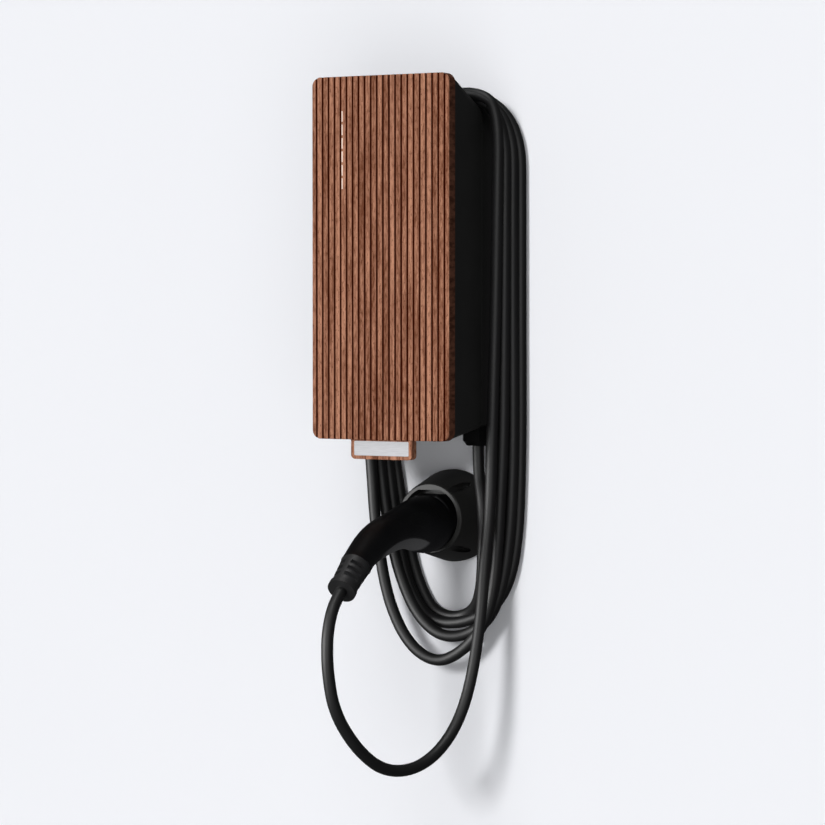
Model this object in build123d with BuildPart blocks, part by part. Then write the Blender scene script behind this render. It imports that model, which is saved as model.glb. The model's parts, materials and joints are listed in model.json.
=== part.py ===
# Wall charger for electric cars: a slim box with a slatted wooden front cover, its charging cable
# wound behind the head of the box, and the plug parked in a round dock on the wall below.
#
# Millimetres. The wall is the plane Y = 0 and the front looks along -Y. X runs to the right and Z up.
# The origin lies on the wall, in the middle of the bracket's four wall holes.
# Plane.XZ.offset(d) is the plane that stands d in front of the wall, so every d below is a distance
# from the wall, and extrude goes away from it.
import os
from math import acos, cos, degrees, pi, radians, sin, tan

from build123d import *

os.makedirs("parts", exist_ok=True)

# Box
BOX_WIDTH = 171.0
BOX_HEIGHT = 400.0
BOX_DEPTH = 140.0            # wall to the face of the cover
FIT = 0.3                    # gap where one piece slips into another

# Front cover, with upright slats cut into its face
COVER_DEPTH = 14.0
COVER_CORNER = 10.0
COVER_FACE = 4.5             # thickness behind the slats
COVER_SIDE = 5.0             # thickness of the rim
COVER_EDGE = 0.8             # rounding round the face
GROOVE_PITCH = 7.6
GROOVE_WIDTH = 2.2
GROOVE_DEPTH = 1.8
GROOVE_MARGIN = 5.7          # side of the cover to the first groove

# Row of light dashes in the cover
LED_COUNT = 6
LED_LENGTH = 11.6
LED_WIDTH = 1.3
LED_SPACING = 14.8
LED_TOP = 38.0               # top of the cover to the first dash
LED_GROOVE = 4               # groove that the row stands beside, counted from the left
LED_OFFSET = 2.0             # middle of that groove to the middle of the dashes
LED_FIT = 0.1
GUIDE_WIDTH = 6.0
GUIDE_DEPTH = 3.0
LED_BOARD_WIDTH = 9.0
LED_BOARD_DEPTH = 1.6

# Label tab below the cover
TAB_WIDTH = 76.0
TAB_HEIGHT = 21.5
TAB_DEPTH = 11.0
TAB_SETBACK = 3.0            # behind the cover's face
TAB_CORNER = 5.0
PLATE_WIDTH = 68.0
PLATE_HEIGHT = 16.0
PLATE_DEPTH = 1.2
PLATE_TOP = 1.5              # bottom of the cover to the plate
PLATE_CORNER = 1.2
PLATE_FIT = 0.15

# Front housing, the tapered head behind the cover
SHOULDER = 53.0              # wall to the back of the head
SHOULDER_RADIUS = 6.0
HEAD_INSET = 0.8             # the head stands in from the cover all round
HEAD_TOP_DROP = 24.0
HEAD_BOTTOM_RISE = 10.5
HEAD_SIDE_DRAFT = 0.7
HEAD_WALL = 3.5
HEAD_FRONT_CORNER = 9.2
HEAD_REAR_TOP_CORNER = 24.0
HEAD_REAR_LOW_CORNER = 9.2
TONGUE_DEPTH = 5.0           # rim that reaches into the cover
TONGUE_WALL = 2.0
TIGHT_CORNER = 1.0           # least radius of an inner corner

# Rear housing, the neck that the cable is wound round
NECK_RIGHT = 80.0
NECK_LEFT = 80.0             # at the top
NECK_LOW_LEFT = 44.0         # at the bottom, where the turns swing inwards
NECK_TOP = 177.0
NECK_BOTTOM = -187.0
NECK_TOP_CORNER = 40.0
NECK_BOTTOM_CORNER = 4.5
NECK_WALL = 3.0
SEAL_GAP = 2.0               # between head and neck
WINDOW_WIDTH = 70.0          # passage for the wires between head and neck
WINDOW_HEIGHT = 60.0
WINDOW_Z = -105.0
WINDOW_CORNER = 6.0
SEAL_WIDTH = 8.0

# Screws between head and neck
HOUSING_SCREW = 4.0
HOUSING_SCREW_GRIP = 14.0
HOUSING_SCREW_HEAD = 7.5
HOUSING_SCREW_HEAD_HEIGHT = 3.0
HOUSING_SCREW_X = 36.0
HOUSING_SCREW_TOP = 130.0
HOUSING_SCREW_BOTTOM = -160.0
BOSS = 12.0
SCREW_FIT = 0.2

# Wall bracket
BRACKET_DEPTH = 3.0
BRACKET_INSET = 0.5          # inside the outline of the neck
WALL_HOLE = 6.5
WALL_HOLE_X = 70.0
WALL_HOLE_Z = 260.0
LIP_X = 22.0                 # middle of the lip and the lock screw
LIP_WIDTH = 28.0
LIP_DEPTH = 28.0
LIP_THICK = 3.0
LOCK_SCREW = 5.0
LOCK_SCREW_HEAD = 9.0
LOCK_SCREW_HEAD_HEIGHT = 3.0
LOCK_SCREW_OUT = 18.0        # wall to the lock screw

# Main board and what stands on it, in a left and a right column
BOARD_SIDE = 17.5            # side of the box to the board
BOARD_LOW = 71.0             # bottom of the box to the board
BOARD_HIGH = 59.0            # top of the box to the board
BOARD_DEPTH = 1.6
BOARD_EDGE = 6.0             # edge of the board to the columns
STANDOFF = 12.0
STANDOFF_DIAMETER = 8.0
BOARD_HOLE_INSET = 8.0
BOARD_SCREW = 3.0
BOARD_SCREW_HEAD = 5.5
BOARD_SCREW_HEAD_HEIGHT = 2.2
BLOCK_EDGE = 1.0             # rounding of the blocks' front edges
CONTACTOR = (40.0, 36.0, 68.0)        # width, depth, height
CONTACTOR_Z = 66.0                    # from the middle of the board
SUPPLY = (44.0, 28.0, 40.0)
SUPPLY_Z = 88.0
METER = (38.0, 20.0, 60.0)
METER_Z = 20.0
RADIO = (20.0, 3.0, 30.0)
RADIO_Z = 8.0
TERMINALS = (84.0, 30.0, 24.0)
TERMINALS_Z = -74.0
TERMINAL_COUNT = 6
TERMINAL_HOLE = 7.0
SENSOR_OUTER = 38.0
SENSOR_INNER = 22.0
SENSOR_DEPTH = 16.0
SENSOR_Z = -36.0

# Cable gland under the neck
GLAND_X = 63.5
GLAND_OUT = 26.0             # wall to the gland's axis
GLAND_THREAD = 22.0
GLAND_FLATS = 34.0
GLAND_FLANGE = 5.0
GLAND_TAIL = 10.0            # thread below the flange
GLAND_ABOVE = 12.0           # thread inside the neck
GLAND_BORE = 17.0
GLAND_NUT = 16.5
GLAND_DOME = 5.0
GLAND_DOME_SLOPE = 35        # degrees
GLAND_GAP = 0.5              # between flange and nut
LOCKNUT_FLATS = 24.0
LOCKNUT_HEIGHT = 5.0
GLAND_SEAL_HEIGHT = 6.0
GLAND_SEAL_BORE = 9.0

# Supply inlet under the neck
INLET_X = -18.0
INLET_BORE = 16.0
INLET_HOLE = 26.0
INLET_FLANGE = 34.0
INLET_FLANGE_HEIGHT = 3.0
INLET_WEB = 1.5              # closed until a supply cable is pushed through

# Dock on the wall
DOCK_X = 20.5
DOCK_Z = -290.6
DOCK_RADIUS = 52.5
DOCK_FLANGE = 5.0
DOCK_DEPTH = 62.0            # wall to the rim
DOCK_RIM_RADIUS = 39.5
DOCK_RIM_EDGE = 1.2
MOUTH_GAP = 5.0              # round the plug's collar, in the rim
MOUTH_RISE = 5.2             # and over its flat
MOUTH_DEPTH = 20.0
DOCK_FLOOR = 8.0
DOCK_SCREW_CIRCLE = 44.0
DOCK_SCREW_ANGLE = 52.0
DOCK_SCREW = 4.5
DOCK_SCREW_HEAD = 8.0
DOCK_SCREW_HEAD_HEIGHT = 3.0
DOCK_POCKET = 10.0

# Plug
NOSE_RADIUS = 28.0
NOSE_FLAT = 22.5             # axis to the flat on top
NOSE_GAP = 3.0               # round the nose, in the dock
NOSE_END = 44.0              # wall to the back of the nose
SOCKET_DEPTH = 28.0          # depth of the contact holes
CONTACT_CIRCLE = 17.0
SIGNAL_RISE = 12.75          # axis up to the two signal contacts
POWER_CONTACT = 6.0
SIGNAL_CONTACT = 3.0
CONTACT_LENGTH = 22.0
CONTACT_FIT = 1.0
NOSE_SEAL_DEPTH = 3.0
NOSE_SEAL_RADIUS = 29.5
COLLAR_RADIUS = 30.0
COLLAR_FLAT = 27.0
COLLAR_END = 70.0            # wall to the end of the collar
COLLAR_EDGE = 2.5
# Handle sections: distance from the wall, height, downward tilt in degrees, width, thickness
HANDLE = [
    (64.0, -295.4, 0.0, 62.0, 63.6),
    (82.0, -296.2, 2.0, 62.0, 63.6),
    (102.0, -296.0, 5.0, 56.0, 57.0),
    (128.0, -297.0, 9.0, 47.5, 47.0),
    (165.0, -302.0, 14.0, 41.5, 41.5),
    (200.0, -312.0, 23.0, 38.0, 37.0),
    (231.0, -330.0, 38.0, 35.0, 33.0),
]
RELIEF_LENGTH = 40.0
RELIEF_START = 33.0
RELIEF_END = 29.0
RELIEF_RING = 31.5
RELIEF_RING_HEIGHT = 5.5
RELIEF_SLOTS = 3
RELIEF_SLOT = 5.0
RELIEF_SLOT_PITCH = 8.6
RELIEF_SLOT_FIRST = 7.0
RELIEF_SLOT_DEPTH = 4.5
RELIEF_SLOT_WIDTH = 17.0
RELIEF_SLOT_TURN = 45.0      # the slots look up and down at a slant

# Cable
CABLE = 13.0
BEND_SHARE = 0.45            # share of the shorter run that a bend takes up
CORD_CLEAR = 0.3             # cable to the neck it hangs on
COIL_FRONT = 52.8
COIL_BACK = 1.0
COIL_FRONT_RADIUS = 38.0     # bend of the foremost turn's middle at the upper corners
COIL_BACK_RADIUS = 75.0      # and of the turn at the wall, which lies lower there
COIL_FRONT_X = 96.0          # middle of the foremost turn, from the middle of the box
COIL_BACK_X = 108.0
COIL_BACK_RISE = 2.0
COIL_LOW_OUTER = (15.0, -372.0, 86.0)     # X, Z and radius of the lowest bend
COIL_LOW_INNER = (27.0, -343.0, 58.0)
LEAD_POINTS = [
    (GLAND_X, -GLAND_OUT, -236.0),
    (75.3, -39.5, -272.0),
    (77.2, -42.0, -314.0),
    (77.0, -41.0, -357.0),
    (74.5, -37.0, -399.0),
]
TAIL_POINTS = [
    (93.0, -38.0, -205.0),
    (90.0, -49.0, -275.0),
    (88.5, -60.0, -340.0),
    (89.5, -72.0, -404.0),
    (87.0, -95.6, -481.8),
    (77.2, -126.9, -528.2),
    (63.3, -171.2, -555.0),
    (47.3, -222.4, -555.0),
    (33.4, -266.8, -528.2),
    (25.1, -293.3, -481.8),
    (23.4, -298.0, -438.0),
    (22.6, -297.1, -407.7),
    (22.0, -293.1, -391.9),
    (21.2, -285.8, -377.3),
]
TAIL_LAST_RUN = 16.3         # straight, in line with the strain relief

# Worked out from the sizes above
COVER_BACK = BOX_DEPTH - COVER_DEPTH
HALF_HEIGHT = BOX_HEIGHT / 2
HEAD_FRONT_WIDTH = BOX_WIDTH - 2 * HEAD_INSET
HEAD_FRONT_HEIGHT = BOX_HEIGHT - 2 * HEAD_INSET
HEAD_REAR_WIDTH = HEAD_FRONT_WIDTH - 2 * HEAD_SIDE_DRAFT
HEAD_REAR_HEIGHT = HEAD_FRONT_HEIGHT - HEAD_TOP_DROP - HEAD_BOTTOM_RISE
HEAD_REAR_Z = (HEAD_BOTTOM_RISE - HEAD_TOP_DROP) / 2
HEAD_FLOOR = SHOULDER + HEAD_WALL
TONGUE_OUTER = COVER_SIDE + FIT
TONGUE_INNER = TONGUE_OUTER + TONGUE_WALL
NECK_FRONT = SHOULDER - SEAL_GAP
NECK_FLOOR = NECK_BOTTOM + NECK_WALL
GROOVES = round((BOX_WIDTH - 2 * GROOVE_MARGIN) / GROOVE_PITCH) + 1
LED_X = (LED_GROOVE - (GROOVES - 1) / 2) * GROOVE_PITCH + LED_OFFSET
LED_SPAN = (LED_COUNT - 1) * LED_SPACING + LED_LENGTH
LED_Z = HALF_HEIGHT - LED_TOP - LED_SPAN / 2
COVER_INNER_FACE = BOX_DEPTH - COVER_FACE
GUIDE_BACK = COVER_INNER_FACE - GUIDE_DEPTH
TAB_FRONT = BOX_DEPTH - TAB_SETBACK
BOARD_WIDTH = BOX_WIDTH - 2 * BOARD_SIDE
BOARD_HEIGHT = BOX_HEIGHT - BOARD_LOW - BOARD_HIGH
BOARD_Z = (BOARD_LOW - BOARD_HIGH) / 2
COLUMN = BOARD_WIDTH / 2 - BOARD_EDGE
BOARD_BACK = HEAD_FLOOR + STANDOFF
BOARD_FRONT = BOARD_BACK + BOARD_DEPTH
BOARD_HOLE_PITCH_X = BOARD_WIDTH - 2 * BOARD_HOLE_INSET
BOARD_HOLE_PITCH_Z = BOARD_HEIGHT - 2 * BOARD_HOLE_INSET
HOUSING_SCREW_PLACES = [
    (side * HOUSING_SCREW_X, height)
    for side in (-1, 1)
    for height in (HOUSING_SCREW_TOP, HOUSING_SCREW_BOTTOM)
]
GLAND_PLANE = Plane.XY.offset(NECK_BOTTOM)
GLAND_AT = (GLAND_X, -GLAND_OUT)
GLAND_TAIL_END = GLAND_FLANGE + GLAND_TAIL
NUT_TOP = GLAND_FLANGE + GLAND_GAP
NUT_END = NUT_TOP + GLAND_NUT
INLET_AT = (INLET_X, -GLAND_OUT)
DOCK_AT = (DOCK_X, DOCK_Z)
DOCK_AXIS = Axis((DOCK_X, 0, DOCK_Z), (0, -1, 0))
DOCK_SCREW_PLACES = [
    (
        DOCK_X + x_side * DOCK_SCREW_CIRCLE * cos(radians(DOCK_SCREW_ANGLE)),
        DOCK_Z + z_side * DOCK_SCREW_CIRCLE * sin(radians(DOCK_SCREW_ANGLE)),
    )
    for x_side in (-1, 1)
    for z_side in (-1, 1)
]


def write(piece, name):
    """Label a finished piece and write it as its own file."""
    piece.part.label = name
    export_step(piece.part, f"parts/{name}.step")


def tapered_body(front_inset, rear_inset, back, edge_radius):
    """The head's form, drawn in by an inset, with a rounded edge round its back."""
    with BuildPart() as body:
        with BuildSketch(Plane.XZ.offset(back)) as back_face:
            with Locations((0, HEAD_REAR_Z)):
                Rectangle(HEAD_REAR_WIDTH - 2 * rear_inset, HEAD_REAR_HEIGHT - 2 * rear_inset)
            fillet(back_face.vertices().group_by(Axis.Y)[-1], HEAD_REAR_TOP_CORNER - rear_inset)
            fillet(back_face.vertices().group_by(Axis.Y)[0], HEAD_REAR_LOW_CORNER - rear_inset)
        with BuildSketch(Plane.XZ.offset(COVER_BACK)):
            RectangleRounded(
                HEAD_FRONT_WIDTH - 2 * front_inset,
                HEAD_FRONT_HEIGHT - 2 * front_inset,
                max(HEAD_FRONT_CORNER - front_inset, TIGHT_CORNER),
            )
        loft(ruled=True)
        fillet(body.faces().sort_by(Axis.Y)[-1].edges(), edge_radius)
    return body.part


def neck_face(inset):
    """The neck's outline, upright on the right and leaning in on the left, drawn in by an inset."""
    with BuildSketch() as outline:
        Polygon(
            (-NECK_LEFT + inset, NECK_TOP - inset),
            (NECK_RIGHT - inset, NECK_TOP - inset),
            (NECK_RIGHT - inset, NECK_BOTTOM + inset),
            (-NECK_LOW_LEFT + inset, NECK_BOTTOM + inset),
            align=None,
        )
        fillet(outline.vertices().group_by(Axis.Y)[-1], NECK_TOP_CORNER - inset)
        fillet(outline.vertices().group_by(Axis.Y)[0], NECK_BOTTOM_CORNER - inset)
    return outline.sketch


def d_shape(radius, flat):
    """A round face with a flat on top, on the sketch in hand."""
    Circle(radius)
    with Locations((0, flat)):
        Rectangle(2 * radius, 2 * radius, align=(Align.CENTER, Align.MIN), mode=Mode.SUBTRACT)


def tilted_plane(out, height, tilt):
    """A section plane across the handle, which dips by tilt degrees as it leaves the wall."""
    return Plane(
        origin=(DOCK_X, -out, height),
        x_dir=(1, 0, 0),
        z_dir=(0, -cos(radians(tilt)), -sin(radians(tilt))),
    )


def cable_path(points):
    """The bends of a cable route, each as large as its two runs allow."""
    corners = [Vector(*point) for point in points]
    radii = []
    for before, corner, after in zip(corners, corners[1:], corners[2:]):
        run_in = corner - before
        run_out = after - corner
        turn = radians(run_in.get_angle(run_out))
        radii.append(BEND_SHARE * min(run_in.length, run_out.length) / tan(turn / 2))
    return corners, radii


def cable_tube(name, points):
    """A cable along a route of straight runs and round bends."""
    corners, radii = cable_path(points)
    print(name, "bend radii", [round(radius) for radius in radii])
    with BuildPart() as tube:
        with BuildLine() as route:
            FilletPolyline(*corners, radius=radii)
        path = route.wire()
        with BuildSketch(Plane(origin=path @ 0, z_dir=path % 0)):
            Circle(CABLE / 2)
        sweep(path=path)
    volume = pi * CABLE**2 / 4 * path.length
    print(name, "length", round(path.length), "volume ratio", round(tube.part.volume / volume, 4))
    return tube.part


# Front cover
with BuildPart() as front_cover:
    with BuildSketch(Plane.XZ.offset(COVER_BACK)):
        RectangleRounded(BOX_WIDTH, BOX_HEIGHT, COVER_CORNER)
    extrude(amount=COVER_DEPTH)
    fillet(front_cover.faces().sort_by(Axis.Y)[0].edges(), COVER_EDGE)
    with BuildSketch(Plane.XZ.offset(COVER_BACK)):
        RectangleRounded(
            BOX_WIDTH - 2 * COVER_SIDE, BOX_HEIGHT - 2 * COVER_SIDE, COVER_CORNER - COVER_SIDE
        )
    extrude(amount=COVER_DEPTH - COVER_FACE, mode=Mode.SUBTRACT)
    with BuildSketch(Plane.XZ.offset(BOX_DEPTH)):
        with GridLocations(GROOVE_PITCH, BOX_HEIGHT, GROOVES, 1):
            Rectangle(GROOVE_WIDTH, BOX_HEIGHT)
    extrude(amount=-GROOVE_DEPTH, mode=Mode.SUBTRACT)
    with BuildSketch(Plane.XZ.offset(BOX_DEPTH)):
        with Locations((LED_X, LED_Z)):
            with GridLocations(LED_WIDTH, LED_SPACING, 1, LED_COUNT):
                Rectangle(LED_WIDTH + 2 * LED_FIT, LED_LENGTH + 2 * LED_FIT)
    extrude(amount=-COVER_FACE, mode=Mode.SUBTRACT)
write(front_cover, "front_cover")

# Light guide behind the cover, with a dash standing through each slot
with BuildPart() as light_guide:
    with BuildSketch(Plane.XZ.offset(GUIDE_BACK)):
        with Locations((LED_X, LED_Z)):
            Rectangle(GUIDE_WIDTH, LED_SPAN + GUIDE_WIDTH)
    extrude(amount=GUIDE_DEPTH)
    with BuildSketch(Plane.XZ.offset(COVER_INNER_FACE)):
        with Locations((LED_X, LED_Z)):
            with GridLocations(LED_WIDTH, LED_SPACING, 1, LED_COUNT):
                Rectangle(LED_WIDTH, LED_LENGTH)
    extrude(amount=COVER_FACE)
write(light_guide, "light_guide")

with BuildPart() as led_board:
    with BuildSketch(Plane.XZ.offset(GUIDE_BACK)):
        with Locations((LED_X, LED_Z)):
            Rectangle(LED_BOARD_WIDTH, LED_SPAN + LED_BOARD_WIDTH)
    extrude(amount=-LED_BOARD_DEPTH)
write(led_board, "led_board")

# Label tab and its plate
with BuildPart() as label_tab:
    with BuildSketch(Plane.XZ.offset(TAB_FRONT)) as tab_face:
        with Locations((0, -HALF_HEIGHT)):
            Rectangle(TAB_WIDTH, TAB_HEIGHT, align=(Align.CENTER, Align.MAX))
        fillet(tab_face.vertices().group_by(Axis.Y)[0], TAB_CORNER)
    extrude(amount=-TAB_DEPTH)
    with BuildSketch(Plane.XZ.offset(TAB_FRONT)):
        with Locations((0, -HALF_HEIGHT - PLATE_TOP - PLATE_HEIGHT / 2)):
            RectangleRounded(
                PLATE_WIDTH + 2 * PLATE_FIT, PLATE_HEIGHT + 2 * PLATE_FIT, PLATE_CORNER + PLATE_FIT
            )
    extrude(amount=-PLATE_DEPTH, mode=Mode.SUBTRACT)
write(label_tab, "label_tab")

with BuildPart() as label_plate:
    with BuildSketch(Plane.XZ.offset(TAB_FRONT)):
        with Locations((0, -HALF_HEIGHT - PLATE_TOP - PLATE_HEIGHT / 2)):
            RectangleRounded(PLATE_WIDTH, PLATE_HEIGHT, PLATE_CORNER)
    extrude(amount=-PLATE_DEPTH)
write(label_plate, "label_plate")

# Front housing: a tapered tub whose rim reaches into the cover
head_space = tapered_body(TONGUE_INNER - HEAD_INSET, HEAD_WALL, HEAD_FLOOR, SHOULDER_RADIUS - HEAD_WALL)
head_form = tapered_body(0, 0, SHOULDER, SHOULDER_RADIUS)
with BuildPart() as front_housing:
    add(head_form)
    with BuildSketch(Plane.XZ.offset(COVER_BACK)):
        RectangleRounded(
            BOX_WIDTH - 2 * TONGUE_OUTER,
            BOX_HEIGHT - 2 * TONGUE_OUTER,
            max(COVER_CORNER - TONGUE_OUTER, TIGHT_CORNER),
        )
        RectangleRounded(
            BOX_WIDTH - 2 * TONGUE_INNER,
            BOX_HEIGHT - 2 * TONGUE_INNER,
            max(COVER_CORNER - TONGUE_INNER, TIGHT_CORNER),
            mode=Mode.SUBTRACT,
        )
    extrude(amount=TONGUE_DEPTH)
    add(head_space, mode=Mode.SUBTRACT)
    with BuildSketch(Plane.XZ.offset(HEAD_FLOOR)):
        with Locations((0, WINDOW_Z)):
            RectangleRounded(WINDOW_WIDTH, WINDOW_HEIGHT, WINDOW_CORNER)
        with Locations(*HOUSING_SCREW_PLACES):
            Circle(HOUSING_SCREW / 2 + SCREW_FIT)
    extrude(amount=-HEAD_WALL, mode=Mode.SUBTRACT)
write(front_housing, "front_housing")

# Seal round the passage between head and neck
with BuildPart() as housing_seal:
    with BuildSketch(Plane.XZ.offset(NECK_FRONT)):
        with Locations((0, WINDOW_Z)):
            RectangleRounded(
                WINDOW_WIDTH + 2 * SEAL_WIDTH, WINDOW_HEIGHT + 2 * SEAL_WIDTH, WINDOW_CORNER + SEAL_WIDTH
            )
            RectangleRounded(WINDOW_WIDTH, WINDOW_HEIGHT, WINDOW_CORNER, mode=Mode.SUBTRACT)
    extrude(amount=SEAL_GAP)
write(housing_seal, "housing_seal")

# Rear housing: a tub that opens towards the wall
neck_outside = neck_face(0)
neck_hollow = neck_face(NECK_WALL)
with BuildPart() as rear_housing:
    with BuildSketch(Plane.XZ.offset(BRACKET_DEPTH)):
        add(neck_outside)
    extrude(amount=NECK_FRONT - BRACKET_DEPTH)
    with BuildSketch(Plane.XZ.offset(BRACKET_DEPTH)):
        add(neck_hollow)
    extrude(amount=NECK_FRONT - NECK_WALL - BRACKET_DEPTH, mode=Mode.SUBTRACT)
    with BuildSketch(Plane.XZ.offset(SHOULDER)):
        with Locations(*HOUSING_SCREW_PLACES):
            Circle(BOSS / 2)
    extrude(amount=-(SEAL_GAP + HOUSING_SCREW_GRIP))
    with BuildSketch(Plane.XZ.offset(SHOULDER)):
        with Locations(*HOUSING_SCREW_PLACES):
            Circle(HOUSING_SCREW / 2 + SCREW_FIT)
        with Locations((0, WINDOW_Z)):
            RectangleRounded(WINDOW_WIDTH, WINDOW_HEIGHT, WINDOW_CORNER)
    extrude(amount=-(SEAL_GAP + HOUSING_SCREW_GRIP), mode=Mode.SUBTRACT)
    with BuildSketch(GLAND_PLANE):
        with Locations(GLAND_AT):
            Circle(GLAND_THREAD / 2 + SCREW_FIT)
        with Locations(INLET_AT):
            Circle(INLET_HOLE / 2 + SCREW_FIT)
        with Locations((LIP_X, -LOCK_SCREW_OUT)):
            Circle(LOCK_SCREW / 2 + SCREW_FIT)
    extrude(amount=NECK_WALL, mode=Mode.SUBTRACT)
write(rear_housing, "rear_housing")

with BuildPart() as housing_screws:
    with BuildSketch(Plane.XZ.offset(HEAD_FLOOR)):
        with Locations(*HOUSING_SCREW_PLACES):
            Circle(HOUSING_SCREW_HEAD / 2)
    extrude(amount=HOUSING_SCREW_HEAD_HEIGHT)
    with BuildSketch(Plane.XZ.offset(HEAD_FLOOR)):
        with Locations(*HOUSING_SCREW_PLACES):
            Circle(HOUSING_SCREW / 2)
    extrude(amount=-(HEAD_WALL + HOUSING_SCREW_GRIP))
write(housing_screws, "housing_screws")

# Wall bracket: a plate with four wall holes and a lip that takes the lock screw
bracket_face = neck_face(BRACKET_INSET)
with BuildPart() as wall_bracket:
    with BuildSketch(Plane.XZ):
        add(bracket_face)
        with GridLocations(WALL_HOLE_X, WALL_HOLE_Z, 2, 2):
            Circle(WALL_HOLE / 2, mode=Mode.SUBTRACT)
    extrude(amount=BRACKET_DEPTH)
    with BuildSketch(Plane.XY.offset(NECK_FLOOR)):
        with Locations((LIP_X, -BRACKET_DEPTH)):
            Rectangle(LIP_WIDTH, LIP_DEPTH, align=(Align.CENTER, Align.MAX))
        with Locations((LIP_X, -LOCK_SCREW_OUT)):
            Circle(LOCK_SCREW / 2 + SCREW_FIT, mode=Mode.SUBTRACT)
    extrude(amount=LIP_THICK)
write(wall_bracket, "wall_bracket")

with BuildPart() as lock_screw:
    with BuildSketch(GLAND_PLANE):
        with Locations((LIP_X, -LOCK_SCREW_OUT)):
            Circle(LOCK_SCREW_HEAD / 2)
    extrude(amount=-LOCK_SCREW_HEAD_HEIGHT)
    with BuildSketch(GLAND_PLANE):
        with Locations((LIP_X, -LOCK_SCREW_OUT)):
            Circle(LOCK_SCREW / 2)
    extrude(amount=NECK_WALL + LIP_THICK + LOCK_SCREW)
write(lock_screw, "lock_screw")

# Main board on its standoffs
with BuildPart() as board_standoffs:
    with BuildSketch(Plane.XZ.offset(HEAD_FLOOR)):
        with Locations((0, BOARD_Z)):
            with GridLocations(BOARD_HOLE_PITCH_X, BOARD_HOLE_PITCH_Z, 2, 2):
                Circle(STANDOFF_DIAMETER / 2)
                Circle(BOARD_SCREW / 2 + SCREW_FIT, mode=Mode.SUBTRACT)
    extrude(amount=STANDOFF)
write(board_standoffs, "board_standoffs")

with BuildPart() as main_board:
    with BuildSketch(Plane.XZ.offset(BOARD_BACK)):
        with Locations((0, BOARD_Z)):
            Rectangle(BOARD_WIDTH, BOARD_HEIGHT)
            with GridLocations(BOARD_HOLE_PITCH_X, BOARD_HOLE_PITCH_Z, 2, 2):
                Circle(BOARD_SCREW / 2 + SCREW_FIT, mode=Mode.SUBTRACT)
    extrude(amount=BOARD_DEPTH)
write(main_board, "main_board")

with BuildPart() as board_screws:
    with BuildSketch(Plane.XZ.offset(BOARD_FRONT)):
        with Locations((0, BOARD_Z)):
            with GridLocations(BOARD_HOLE_PITCH_X, BOARD_HOLE_PITCH_Z, 2, 2):
                Circle(BOARD_SCREW_HEAD / 2)
    extrude(amount=BOARD_SCREW_HEAD_HEIGHT)
    with BuildSketch(Plane.XZ.offset(BOARD_FRONT)):
        with Locations((0, BOARD_Z)):
            with GridLocations(BOARD_HOLE_PITCH_X, BOARD_HOLE_PITCH_Z, 2, 2):
                Circle(BOARD_SCREW / 2)
    extrude(amount=-(BOARD_DEPTH + STANDOFF / 2))
write(board_screws, "board_screws")


def board_block(size, middle_x, middle_z):
    """A boxed component standing on the main board, with rounded front edges."""
    width, depth, height = size
    with BuildPart() as block:
        with BuildSketch(Plane.XZ.offset(BOARD_FRONT)):
            with Locations((middle_x, BOARD_Z + middle_z)):
                Rectangle(width, height)
        extrude(amount=depth)
        fillet(block.faces().sort_by(Axis.Y)[0].edges(), BLOCK_EDGE)
    return block


contactor = board_block(CONTACTOR, -COLUMN + CONTACTOR[0] / 2, CONTACTOR_Z)
write(contactor, "contactor")
power_supply = board_block(SUPPLY, COLUMN - SUPPLY[0] / 2, SUPPLY_Z)
write(power_supply, "power_supply")
meter_module = board_block(METER, COLUMN - METER[0] / 2, METER_Z)
write(meter_module, "meter_module")
radio_module = board_block(RADIO, -COLUMN + RADIO[0] / 2, RADIO_Z)
write(radio_module, "radio_module")

TERMINALS_X = -COLUMN + TERMINALS[0] / 2
with BuildPart() as terminal_block:
    add(board_block(TERMINALS, TERMINALS_X, TERMINALS_Z).part)
    with BuildSketch(Plane.XZ.offset(BOARD_FRONT + TERMINALS[1])):
        with Locations((TERMINALS_X, BOARD_Z + TERMINALS_Z)):
            with GridLocations(TERMINALS[0] / TERMINAL_COUNT, 1, TERMINAL_COUNT, 1):
                Circle(TERMINAL_HOLE / 2)
    extrude(amount=-TERMINALS[1] / 2, mode=Mode.SUBTRACT)
write(terminal_block, "terminal_block")

with BuildPart() as current_sensor:
    with BuildSketch(Plane.XZ.offset(BOARD_FRONT)):
        with Locations((COLUMN - SENSOR_OUTER / 2, BOARD_Z + SENSOR_Z)):
            Circle(SENSOR_OUTER / 2)
            Circle(SENSOR_INNER / 2, mode=Mode.SUBTRACT)
    extrude(amount=SENSOR_DEPTH)
write(current_sensor, "current_sensor")

# Cable gland, from inside the neck downwards
with BuildPart() as gland_locknut:
    with BuildSketch(Plane.XY.offset(NECK_FLOOR)):
        with Locations(GLAND_AT):
            RegularPolygon(LOCKNUT_FLATS / 2, 6, major_radius=False, rotation=30)
            Circle(GLAND_THREAD / 2 + SCREW_FIT, mode=Mode.SUBTRACT)
    extrude(amount=LOCKNUT_HEIGHT)
write(gland_locknut, "gland_locknut")

with BuildPart() as gland_body:
    with BuildSketch(GLAND_PLANE):
        with Locations(GLAND_AT):
            Circle(GLAND_THREAD / 2)
    extrude(amount=GLAND_ABOVE)
    with BuildSketch(GLAND_PLANE):
        with Locations(GLAND_AT):
            RegularPolygon(GLAND_FLATS / 2, 6, major_radius=False)
    extrude(amount=-GLAND_FLANGE)
    with BuildSketch(GLAND_PLANE):
        with Locations(GLAND_AT):
            Circle(GLAND_THREAD / 2)
    extrude(amount=-GLAND_TAIL_END)
    with BuildSketch(GLAND_PLANE.offset(-GLAND_TAIL_END)):
        with Locations(GLAND_AT):
            Circle(GLAND_BORE / 2)
    extrude(amount=GLAND_TAIL_END + GLAND_ABOVE, mode=Mode.SUBTRACT)
write(gland_body, "gland_body")

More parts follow.
